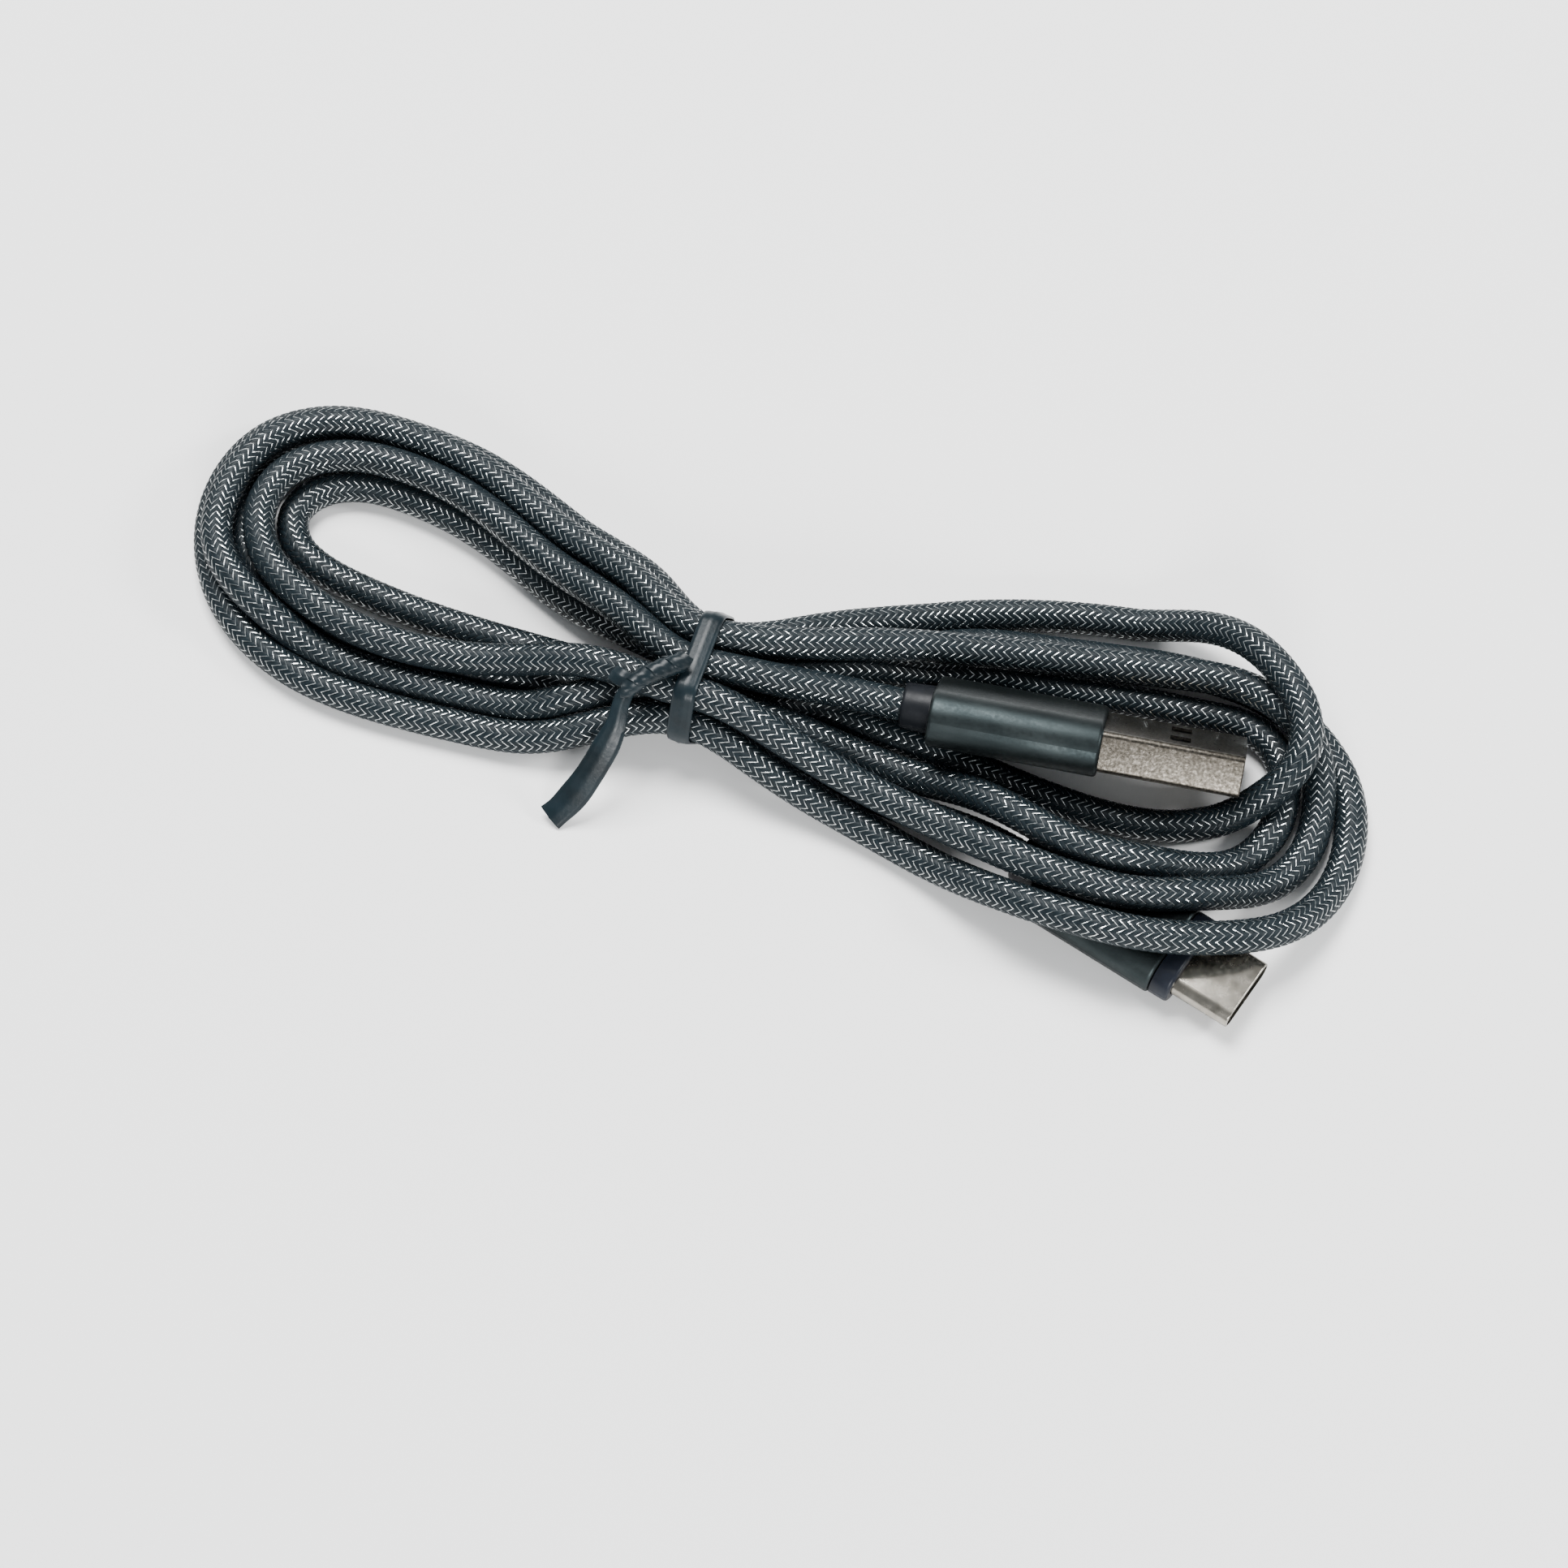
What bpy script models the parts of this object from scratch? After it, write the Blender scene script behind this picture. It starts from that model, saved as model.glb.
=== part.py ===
"""Braided USB-A to USB-C charging cable, wound flat and tied in the middle.

Metres, +Z up. The hank lies on the plane z = 0 with the origin under the
middle of its outline, its long side along X. Route points and plug places are
given in millimetres from the foot of the twist tie.
"""
import math

import bmesh
import bpy
import numpy as np
from mathutils import Matrix, Vector

MM = 0.001
ORIGIN_FROM_TIE = (3.35, 0.5)     # middle of the outline, seen from the tie

# Cable
CABLE_DIAMETER = 3.4
POINT_STEP = 16.0                 # longest run between two tube points
POINT_TURN = math.radians(22)     # largest turn between two tube points

# USB-A plug: the tip's middle, heading and roll about its own length
A_TIP = (55.6, 5.2, 6.4)
A_YAW = 5.5
A_ROLL = 130.0
A_SHELL = (12.0, 4.5)
A_SHELL_WALL = 0.3
A_SHELL_EXPOSED = 15.0
A_BARREL = (14.0, 6.2)
A_BARREL_LENGTH = 18.3
A_RELIEF_LENGTH = 3.3
A_TONGUE_THICKNESS = 1.75
A_TONGUE_TOP = 0.1                # the tongue lies off the middle, as in every USB-A
A_CONTACTS = (-3.5, -1.0, 1.0, 3.5)
A_WINDOW = (2.2, 2.5)             # length and width of a latch window
A_WINDOW_FRONT = -5.9
A_WINDOW_SIDES = (-2.5, 2.5)

# USB-C plug
C_TIP = (62.4, -18.6, 2.75)
C_YAW = -17.5
C_ROLL = 0.0
C_SHELL = (8.34, 2.56)
C_SHELL_WALL = 0.25
C_SHELL_EXPOSED = 6.65
C_FRONT_COLLAR_LENGTH = 2.1
C_BARREL = (10.8, 5.4)
C_BARREL_LENGTH = 15.9
C_RELIEF_LENGTH = 3.2
C_CONTACTS = (-2.5, -1.5, -0.5, 0.5, 1.5, 2.5)
C_SLOT = (6.9, 0.94, 0.3)         # the insulator's slot: width, height, corner
C_LATCH_SIDE = 3.25

BARREL_WALL = 0.7
RELIEF_END = (5.2, 4.8)
BORE = 4.1                        # the cable's way through a strain relief
GAP = 0.1
SHELL_SEAT = 1.7                  # how far the USB-A shell goes into its barrel
WIRE_DIAMETER = 0.9
WIRES = (("red", -1.65), ("pale", -0.55), ("green", 0.55), ("dark", 1.65))
JACKET_DIAMETER = 2.8

# Twist tie
TIE_WIDTH = 2.5
TIE_THICKNESS = 0.4
TIE_X = -2.4
TIE_GRIP = 1.6                    # the strands run straight this far each way
TIE_REACH = 2.0                   # from a strand's middle to the band
TWIST = ((-4.9, -4.5, 12.0), (-7.7, -7.0, 11.4))
TWIST_SIZE = (2.0, 1.0)           # the two ribbons wound together
TWIST_STEPS = 12
TWIST_TURN = math.radians(45)     # between two steps
TAIL_WIDTH = 3.1              # flattened out where it is not wound
TAIL = ((-8.4, -8.5, 10.9), (-8.2, -10.4, 9.9), (-8.7, -12.8, 8.0), (-9.7, -15.0, 5.6),
        (-11.1, -17.0, 3.2), (-12.3, -18.5, 1.5), (-13.4, -19.6, 0.45))

# The strands' places side by side and over each other inside the tie (y, z)
TIE_SLOTS = {
    "low_front": (-5.1, 2.5),
    "low_middle": (-1.3, 2.5),
    "low_back": (2.5, 2.5),
    "mid_front": (-7.0, 5.8),
    "mid_inner_front": (-3.2, 5.8),
    "mid_inner_back": (0.6, 5.8),
    "mid_back": (4.4, 5.8),
    "top_front": (-5.1, 9.1),
    "top_middle": (-1.3, 9.1),
    "top_back": (2.5, 9.1),
}

# The cable's way from the USB-A plug to the USB-C plug. A name is a pass
# through the tie; between two names lies one turn round a lobe.
ROUTE = (
    (21.9, 1.95, 6.4), (18.7, 1.64, 6.4), (14, 1.1, 6.8), (6, -0.6, 8.6),
    "top_middle",
    (-11.5, 2.2, 8.3), (-22, 7.2, 6.0), (-34, 13.0, 5.2), (-43, 14.7, 5.2),
    (-50, 13.6, 5.3), (-54.4, 9.8, 5.4), (-55.2, 4.4, 5.4), (-52.6, -0.6, 5.4),
    (-46.6, -4.4, 5.3), (-35, -6.9, 5.2), (-24, -5.6, 5.5), (-13, -4.4, 8.6),
    "top_front",
    (7, -6.4, 8.0), (17, -8.4, 5.6), (27, -10.6, 5.9), (36, -12.8, 7.5),
    (44, -13.5, 7.8), (50, -12.8, 7.7), (54.5, -11.0, 7.0), (58.8, -8.0, 4.2),
    (62.2, -4.6, 2.1), (64.3, 0, 1.9), (64.3, 5, 2.8), (62.9, 9.2, 4.4),
    (60.3, 12.4, 5.3), (56.4, 14.7, 5.3), (51.5, 15.5, 5.3), (46, 14.9, 5.2),
    (36, 13.2, 5.2), (24, 10.4, 6.1), (17, 8.1, 7.4), (12, 6.2, 8.1),
    "top_back",
    (-12, 6.8, 7.8), (-22, 11.4, 5.7), (-34, 16.9, 5.2), (-44, 18.6, 5.2),
    (-52.3, 17.4, 5.3), (-57.9, 12.9, 5.4), (-59.7, 6.2, 5.4), (-58.6, 0, 5.4),
    (-55.2, -4.1, 5.3), (-50, -6.9, 4.4), (-43.5, -8.7, 2.2), (-35, -9.3, 1.8),
    (-25, -9.0, 1.8), (-18.5, -8.5, 3.3), (-15.5, -7.4, 4.6), (-12, -5.8, 5.3),
    "mid_inner_front",
    (7, -3.3, 4.6), (17, -3.5, 2.0), (22.5, -4.3, 2.5), (28, -5.3, 4.6),
    (34, -7.3, 6.8), (42, -9.4, 7.5), (49, -8.8, 6.9), (54.5, -6.2, 3.6),
    (58.2, -3.2, 1.9), (60.3, 1.0, 1.8), (60.4, 6, 1.8), (58.7, 10.2, 1.8),
    (55.4, 12.4, 1.8), (50.5, 12.6, 1.8), (43.5, 12.1, 1.8), (32, 10.9, 1.8),
    (24, 9.8, 1.8), (20.5, 8.35, 1.9), (17, 6.9, 3.3), (8, 3.0, 5.4),
    "mid_inner_back",
    (-11.5, 2.3, 4.6), (-21, 5.8, 2.1), (-32, 10.8, 1.8), (-41.5, 12.9, 1.8),
    (-47, 12.7, 1.8), (-51, 10.6, 1.8), (-52.6, 7.2, 1.8), (-51.3, 3.9, 1.8),
    (-47.6, 1.5, 1.8), (-42, 0.1, 1.8), (-35, -0.8, 1.8), (-22, -1.3, 1.8),
    (-12, -1.3, 1.9),
    "low_middle",
    (8, 0.4, 1.9), (18, 0.5, 1.8), (24, -0.3, 1.8), (30, -1.2, 1.8),
    (42, -2.4, 1.8), (50, -1.4, 1.8), (55, 1.0, 2.1), (58.6, 3.4, 5.0),
    (61.1, 6.9, 7.8), (60.7, 11.0, 8.9), (57.9, 15.2, 8.9), (53.4, 19.0, 7.9),
    (47.5, 21.6, 4.8), (41.5, 21.6, 2.1), (30, 19.4, 1.8), (18, 15.1, 1.9),
    (7, 8.5, 4.6),
    "mid_back",
    (-11, 9.0, 4.4), (-21, 13.9, 1.9), (-33, 18.9, 1.8), (-44, 20.7, 1.8),
    (-53, 19.9, 1.8), (-59.2, 15.6, 1.8), (-61.5, 9.4, 1.8), (-61.0, 3.0, 1.8),
    (-58.2, -3.0, 1.8), (-52.6, -8.5, 1.8), (-44.5, -12.0, 1.8), (-35, -13.0, 1.8),
    (-25, -12.7, 1.8), (-18.5, -12.0, 2.3), (-12.5, -10.0, 4.0),
    "mid_front",
    (6, -8.7, 4.8), (12, -10, 3.0), (18, -11.2, 2.0), (27, -13.7, 2.4),
    (36, -16.6, 6.0), (44, -17.8, 7.8), (52, -17.2, 7.8), (58, -15.3, 7.2),
    (62.6, -12.5, 5.7), (66, -8.5, 3.6), (68.1, -3.2, 2.0), (68.4, 2.6, 1.8),
    (66.8, 8.0, 1.8), (63.5, 12.3, 1.8), (58.6, 15.6, 1.8), (52.6, 17.2, 1.8),
    (46, 17.3, 1.8), (39, 16.4, 1.8), (32, 15.3, 1.8), (24, 13.7, 1.8),
    (17, 10.5, 1.8), (8, 5.2, 2.0),
    "low_back",
    (-12, 5.5, 1.9), (-21, 9.7, 1.8), (-33, 14.9, 1.8), (-44, 16.7, 1.8),
    (-52, 15.4, 1.8), (-56.8, 11.2, 1.8), (-57.7, 5.8, 1.8), (-55.0, 0.2, 1.8),
    (-47.5, -4.1, 1.8), (-35, -5.7, 1.8), (-23, -5.2, 1.8), (-12, -5.1, 1.9),
    "low_front",
    (8, -6.0, 1.9), (17, -7.2, 1.8), (25, -8.1, 1.8), (30.5, -8.8, 2.3),
    (34.48, -9.80, 2.75), (38.42, -11.04, 2.75),
)


# ---------------------------------------------------------------- materials

def material(name, colour, roughness, metallic=0.0):
    """Return a Principled BSDF material."""
    mat = bpy.data.materials.new(name)
    mat.use_nodes = True
    shader = mat.node_tree.nodes["Principled BSDF"]
    shader.inputs["Base Color"].default_value = (*colour, 1.0)
    shader.inputs["Roughness"].default_value = roughness
    shader.inputs["Metallic"].default_value = metallic
    return mat


def make_materials():
    """Return every material of the cable by a short name."""
    return {
        "braid": material("black_silver_braid", (0.06, 0.065, 0.065), 0.55),
        "barrel": material("gunmetal_anodised", (0.12, 0.125, 0.125), 0.38, 1.0),
        "steel": material("bright_steel", (0.55, 0.52, 0.48), 0.28, 1.0),
        "gold": material("gold_plating", (0.85, 0.62, 0.25), 0.3, 1.0),
        "black": material("black_plastic", (0.012, 0.013, 0.016), 0.4),
        "mould": material("clear_grey_mould", (0.45, 0.46, 0.45), 0.6),
        "board": material("green_board", (0.02, 0.16, 0.07), 0.5),
        "jacket": material("grey_jacket", (0.18, 0.18, 0.18), 0.6),
        "red": material("red_wire", (0.5, 0.02, 0.02), 0.5),
        "green": material("green_wire", (0.02, 0.3, 0.06), 0.5),
        "pale": material("white_wire", (0.75, 0.75, 0.75), 0.5),
        "dark": material("black_wire", (0.015, 0.015, 0.015), 0.5),
        "tie": material("black_tie_plastic", (0.015, 0.015, 0.017), 0.35),
    }


# ------------------------------------------------------------ shape helpers

def finish(name, bm, mat, parent=None):
    """Turn a bmesh into a named object with its material."""
    bmesh.ops.recalc_face_normals(bm, faces=bm.faces[:])
    mesh = bpy.data.meshes.new(name)
    bm.to_mesh(mesh)
    bm.free()
    mesh.materials.append(mat)
    mesh.shade_smooth()
    mesh.set_sharp_from_angle(angle=math.radians(35))
    obj = bpy.data.objects.new(name, mesh)
    bpy.context.scene.collection.objects.link(obj)
    obj.parent = parent
    return obj


def outline(width, height, corner, steps=5):
    """Points of a rounded rectangle in the YZ plane, in order round it."""
    points = []
    for quarter in range(4):
        side_y = 1 if quarter in (0, 3) else -1
        side_z = 1 if quarter in (0, 1) else -1
        for step in range(steps + 1):
            turn = math.radians(90 * quarter + 90 * step / steps)
            points.append((side_y * (width / 2 - corner) + corner * math.cos(turn),
                           side_z * (height / 2 - corner) + corner * math.sin(turn)))
    return points


def section_loop(bm, section):
    """Add one loop of vertices; a section is (x, width, height, corner)."""
    x, width, height, corner = section
    return [bm.verts.new((x * MM, y * MM, z * MM))
            for y, z in outline(width, height, corner)]


def join_loops(bm, first, second):
    """Fill the band between two loops of the same length."""
    count = len(first)
    for i in range(count):
        j = (i + 1) % count
        bm.faces.new((first[i], first[j], second[j], second[i]))


def solid(name, sections, mat, parent):
    """A closed body lofted through sections along X."""
    bm = bmesh.new()
    loops = [section_loop(bm, section) for section in sections]
    for first, second in zip(loops, loops[1:]):
        join_loops(bm, first, second)
    bm.faces.new(loops[0])
    bm.faces.new(loops[-1])
    return finish(name, bm, mat, parent)


def sleeve(name, outer, inner, mat, parent):
    """A body open at both ends: lofted outside and lofted bore."""
    bm = bmesh.new()
    outside = [section_loop(bm, section) for section in outer]
    bore = [section_loop(bm, section) for section in inner]
    for loops in (outside, bore):
        for first, second in zip(loops, loops[1:]):
            join_loops(bm, first, second)
    join_loops(bm, outside[0], bore[0])
    join_loops(bm, outside[-1], bore[-1])
    return finish(name, bm, mat, parent)


def block(name, low, high, mat, parent):
    """A rectangular block between two corners."""
    bm = bmesh.new()
    middle = Vector([(a + b) / 2 * MM for a, b in zip(low, high)])
    size = [(b - a) * MM for a, b in zip(low, high)]
    bmesh.ops.create_cube(bm, size=1.0)
    bmesh.ops.scale(bm, vec=size, verts=bm.verts)
    bmesh.ops.translate(bm, vec=middle, verts=bm.verts)
    return finish(name, bm, mat, parent)


def rod(name, start, end, diameter, mat, parent, sides=12):
    """A straight round rod along X."""
    bm = bmesh.new()
    length = (end[0] - start[0]) * MM
    bmesh.ops.create_cone(bm, cap_ends=True, segments=sides, radius1=diameter / 2 * MM,
                          radius2=diameter / 2 * MM, depth=length)
    bmesh.ops.rotate(bm, cent=(0, 0, 0), matrix=Matrix.Rotation(math.radians(90), 3, "Y"),
                     verts=bm.verts)
    middle = Vector(start).lerp(Vector(end), 0.5) * MM
    bmesh.ops.translate(bm, vec=middle, verts=bm.verts)
    return finish(name, bm, mat, parent)


def cut(target, low, high):
    """Cut a rectangular opening through a body."""
    cutter = block(target.name + "_cutter", low, high, target.data.materials[0],
                   target.parent)
    cutter.hide_render = True
    cutter.display_type = "WIRE"
    boolean = target.modifiers.new("opening", "BOOLEAN")
    boolean.operation = "DIFFERENCE"
    boolean.solver = "EXACT"
    boolean.object = cutter


def empty(name, place, yaw, roll, parent):
    """An empty at a plug's tip, X pointing out of the plug."""
    obj = bpy.data.objects.new(name, None)
    obj.location = Vector(place) * MM
    obj.rotation_euler = (math.radians(roll), 0.0, math.radians(yaw))
    obj.parent = parent
    bpy.context.scene.collection.objects.link(obj)
    return obj


# -------------------------------------------------------------------- cable

def route_points():
    """The route's points as an array, with the tie's slots put in."""
    points = []
    heading = -1
    for stop in ROUTE:
        if isinstance(stop, str):
            y, z = TIE_SLOTS[stop]
            points.append((TIE_X - heading * TIE_GRIP, y, z))
            points.append((TIE_X + heading * TIE_GRIP, y, z))
            heading = -heading
        else:
            points.append(stop)
    return np.array(points, dtype=float)


def smooth(points, per_span=12):
    """A natural cubic spline through the points, as a dense polyline."""
    spans = np.linalg.norm(np.diff(points, axis=0), axis=1)
    count = len(points)
    system = np.eye(count)
    right = np.zeros((count, 3))
    for i in range(1, count - 1):
        before, after = spans[i - 1], spans[i]
        system[i, i - 1:i + 2] = before, 2 * (before + after), after
        right[i] = 6 * ((points[i + 1] - points[i]) / after
                        - (points[i] - points[i - 1]) / before)
    bend = np.linalg.solve(system, right)
    line = []
    for i, span in enumerate(spans):
        for step in range(per_span):
            done = span * step / per_span
            left = span - done
            line.append(bend[i] * left ** 3 / (6 * span)
                        + bend[i + 1] * done ** 3 / (6 * span)
                        + (points[i] / span - bend[i] * span / 6) * left
                        + (points[i + 1] / span - bend[i + 1] * span / 6) * done)
    line.append(points[-1])
    line = np.array(line)
    line[:, 2] = np.maximum(line[:, 2], CABLE_DIAMETER / 2)
    return line


def spaced(line):
    """Pick points along a dense line, closer together where it bends.

    The points where a strand goes into and out of the tie are always picked, so
    that it runs straight through the band.
    """
    steps = np.diff(line, axis=0)
    lengths = np.linalg.norm(steps, axis=1)
    ways = steps / lengths[:, None]
    picked = [line[0]]
    since, turned = 0.0, 0.0
    for i in range(1, len(line) - 1):
        since += lengths[i - 1]
        turned += math.acos(min(1.0, float(ways[i] @ ways[i - 1])))
        at_tie = abs(abs(line[i][0] - TIE_X) - TIE_GRIP) < 0.01
        if since >= POINT_STEP or turned >= POINT_TURN or at_tie:
            picked.append(line[i])
            since, turned = 0.0, 0.0
    picked.append(line[-1])
    return picked


def make_cable(mats, parent):
    """The braided cable as one plain tube along its whole route."""
    points = spaced(smooth(route_points()))
    curve = bpy.data.curves.new("cable_braid", "CURVE")
    curve.dimensions = "3D"
    curve.bevel_depth = CABLE_DIAMETER / 2 * MM
    curve.bevel_resolution = 3
    curve.use_fill_caps = True
    spline = curve.splines.new("POLY")
    spline.points.add(len(points) - 1)
    for slot, point in zip(spline.points, points):
        slot.co = (*(point * MM), 1.0)
    curve.materials.append(mats["braid"])
    obj = bpy.data.objects.new("cable_braid", curve)
    obj.parent = parent
    bpy.context.scene.collection.objects.link(obj)


# ------------------------------------------------------------ USB-A plug

def make_usb_a(mats, frame):
    """The USB-A plug, its mouth at x = 0 and the cable at its back."""
    plug = empty("usb_a_plug", A_TIP, A_YAW, A_ROLL, frame)
    width, height = A_SHELL
    barrel_front = -A_SHELL_EXPOSED
    barrel_back = barrel_front - A_BARREL_LENGTH
    shell_back = barrel_front - SHELL_SEAT
    in_width = width - 2 * A_SHELL_WALL
    in_height = height - 2 * A_SHELL_WALL
    shell = sleeve("usb_a_shell",
                   [(shell_back, width, height, 0.7), (0, width, height, 0.7)],
                   [(shell_back, in_width, in_height, 0.4), (0, in_width, in_height, 0.4)],
                   mats["steel"], plug)
    window_length, window_width = A_WINDOW
    for side_y in A_WINDOW_SIDES:
        for low_z, high_z in ((-2.8, -1.6), (1.6, 2.8)):
            cut(shell, (A_WINDOW_FRONT - window_length, side_y - window_width / 2, low_z),
                (A_WINDOW_FRONT, side_y + window_width / 2, high_z))

    tongue_size = (in_width - 2 * GAP, A_TONGUE_THICKNESS, 0.15)
    tongue = solid("usb_a_tongue", [(shell_back, *tongue_size), (-0.6, *tongue_size)],
                   mats["black"], plug)
    tongue.location.z = (A_TONGUE_TOP - A_TONGUE_THICKNESS / 2) * MM
    for number, y in enumerate(A_CONTACTS, start=1):
        block(f"usb_a_contact_{number}", (-9.5, y - 0.5, A_TONGUE_TOP + 0.05),
              (-1.6, y + 0.5, A_TONGUE_TOP + 0.3), mats["gold"], plug)

    barrel_width, barrel_height = A_BARREL
    bore_width = barrel_width - 2 * BARREL_WALL
    bore_height = barrel_height - 2 * BARREL_WALL
    outer_corner = barrel_height / 2
    bore_corner = bore_height / 2
    sleeve("usb_a_barrel",
           [(barrel_back, barrel_width - 0.5, barrel_height - 0.5, outer_corner - 0.25),
            (barrel_back + 0.3, barrel_width, barrel_height, outer_corner),
            (barrel_front - 0.3, barrel_width, barrel_height, outer_corner),
            (barrel_front, barrel_width - 0.5, barrel_height - 0.5, outer_corner - 0.25)],
           [(barrel_back, bore_width, bore_height, bore_corner),
            (barrel_front - 2.0, bore_width, bore_height, bore_corner),
            (barrel_front - 1.9, width + 0.2, height + 0.2, 0.8),
            (barrel_front, width + 0.2, height + 0.2, 0.8)],
           mats["barrel"], plug)

    mould_back = barrel_back + 2.1
    mould_size = (bore_width - 2 * GAP, bore_height - 2 * GAP, bore_corner - GAP)
    sleeve("usb_a_inner_mould",
           [(mould_back, *mould_size), (shell_back - 0.3, *mould_size)],
           [(mould_back, 6.4, 2.4, 1.0), (shell_back - 0.3, 6.4, 2.4, 1.0)],
           mats["mould"], plug)
    make_relief("usb_a_relief", barrel_back, mould_size, A_RELIEF_LENGTH, mats, plug)
    make_tails("usb_a", barrel_back - 0.2, shell_back - 0.4, mats, plug)


def make_relief(name, barrel_back, flange, length, mats, plug):
    """The strain relief: a flange in the barrel's back and a bored tail."""
    end = barrel_back - length
    wide, high = RELIEF_END
    sleeve(name,
           [(end, wide, high, high / 2),
            (barrel_back - 0.1, wide + 0.7, high + 0.2, high / 2),
            (barrel_back - 0.05, *flange),
            (barrel_back + 1.8, *flange)],
           [(end, BORE, BORE, BORE / 2),
            (barrel_back - 0.1, BORE, BORE, BORE / 2),
            (barrel_back - 0.05, BORE, BORE, BORE / 2),
            (barrel_back + 1.8, BORE, BORE, BORE / 2)],
           mats["black"], plug)


def make_tails(prefix, start, end, mats, plug):
    """The bared jacket and the four wires inside a plug's barrel."""
    jacket_end = start + 1.5
    rod(f"{prefix}_jacket_end", (start, 0, 0), (jacket_end, 0, 0), JACKET_DIAMETER,
        mats["jacket"], plug, sides=16)
    for colour, y in WIRES:
        rod(f"{prefix}_wire_{colour}", (jacket_end + 0.2, y, 0), (end, y, 0), WIRE_DIAMETER,
            mats[colour], plug)


# ------------------------------------------------------------ USB-C plug

def make_usb_c(mats, frame):
    """The USB-C plug, its mouth at x = 0 and the cable at its back."""
    plug = empty("usb_c_plug", C_TIP, C_YAW, C_ROLL, frame)
    width, height = C_SHELL
    collar_front = -C_SHELL_EXPOSED
    barrel_front = collar_front - C_FRONT_COLLAR_LENGTH - GAP
    barrel_back = barrel_front - C_BARREL_LENGTH
    shell_back = barrel_front - 1.0
    in_width = width - 2 * C_SHELL_WALL
    in_height = height - 2 * C_SHELL_WALL
    sleeve("usb_c_shell",
           [(shell_back, width, height, height / 2), (-0.25, width, height, height / 2),
            (0, width - 0.3, height - 0.3, height / 2 - 0.15)],
           [(shell_back, in_width, in_height, in_height / 2),
            (-0.25, in_width, in_height, in_height / 2),
            (0, in_width, in_height, in_height / 2)],
           mats["steel"], plug)

    liner = (in_width - 2 * 0.06, in_height - 2 * 0.06, in_height / 2 - 0.06)
    sleeve("usb_c_insulator",
           [(shell_back + 0.4, *liner), (-0.9, *liner)],
           [(shell_back + 0.4, *C_SLOT), (-0.9, *C_SLOT)],
           mats["black"], plug)
    for side, z in (("upper", 0.36), ("lower", -0.36)):
        for number, y in enumerate(C_CONTACTS, start=1):
            block(f"usb_c_contact_{side}_{number}", (-5.8, y - 0.14, z - 0.06),
                  (-1.3, y + 0.14, z + 0.06), mats["gold"], plug)
    for side, y in (("left", C_LATCH_SIDE), ("right", -C_LATCH_SIDE)):
        block(f"usb_c_latch_{side}", (-6.4, y - 0.1, -0.2), (-1.8, y + 0.1, 0.2),
              mats["steel"], plug)

    collar_size = (C_BARREL[0] - 0.4, C_BARREL[1] - 0.4, C_BARREL[1] / 2 - 0.2)
    opening = (width + 2 * GAP, height + 2 * GAP, height / 2 + GAP)
    sleeve("usb_c_front_collar",
           [(barrel_front + GAP, *collar_size), (collar_front - 0.3, *collar_size),
            (collar_front, collar_size[0] - 0.5, collar_size[1] - 0.5, collar_size[2] - 0.25)],
           [(barrel_front + GAP, *opening), (collar_front - 0.3, *opening),
            (collar_front, *opening)],
           mats["black"], plug)

    barrel_width, barrel_height = C_BARREL
    bore = (barrel_width - 2 * BARREL_WALL, barrel_height - 2 * BARREL_WALL,
            barrel_height / 2 - BARREL_WALL)
    outside = (barrel_width, barrel_height, barrel_height / 2)
    edge = (barrel_width - 0.5, barrel_height - 0.5, barrel_height / 2 - 0.25)
    sleeve("usb_c_barrel",
           [(barrel_back, *edge), (barrel_back + 0.3, *outside),
            (barrel_front - 0.3, *outside), (barrel_front, *edge)],
           [(barrel_back, *bore), (barrel_back + 0.3, *bore),
            (barrel_front - 0.3, *bore), (barrel_front, *bore)],
           mats["barrel"], plug)

    board_back = barrel_front - 9.5
    board_front = shell_back - 0.4
    block("usb_c_board", (board_back, -3.4, -0.9), (board_front, 3.4, -0.3),
          mats["board"], plug)
    block("usb_c_resistor", (board_front - 3.2, -0.5, -0.25), (board_front - 2.2, 0.5, 0.15),
          mats["dark"], plug)
    mould_size = (bore[0] - 2 * GAP, bore[1] - 2 * GAP, bore[2] - GAP)
    mould_bore = (7.2, 2.2, 0.4)
    mould_back = barrel_back + 2.1
    sleeve("usb_c_inner_mould",
           [(mould_back, *mould_size), (board_front + 0.1, *mould_size)],
           [(mould_back, *mould_bore), (board_front + 0.1, *mould_bore)],
           mats["mould"], plug)
    make_relief("usb_c_relief", barrel_back, mould_size, C_RELIEF_LENGTH, mats, plug)
    make_tails("usb_c", barrel_back - 0.2, board_back - 0.3, mats, plug)


# ------------------------------------------------------------- twist tie


def ribbon(name, points, twists, width, thickness, mat, parent):
    """A flat strip along points, turned about its length by twists."""
    bm = bmesh.new()
    points = [Vector(point) for point in points]
    loops = []
    for i, point in enumerate(points):
        ahead = points[min(i + 1, len(points) - 1)] - points[max(i - 1, 0)]
        ahead.normalize()
        across = ahead.cross(Vector((0, 0, 1))).normalized()
        turn = Matrix.Rotation(twists[i], 3, ahead)
        across = turn @ across
        normal = across.cross(ahead)
        corners = ((1, 1), (-1, 1), (-1, -1), (1, -1))
        loops.append([bm.verts.new((point + across * (a * width / 2)
                                    + normal * (b * thickness / 2)) * MM)
                      for a, b in corners])
    for first, second in zip(loops, loops[1:]):
        join_loops(bm, first, second)
    bm.faces.new(loops[0])
    bm.faces.new(loops[-1])
    return finish(name, bm, mat, parent)


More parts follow.
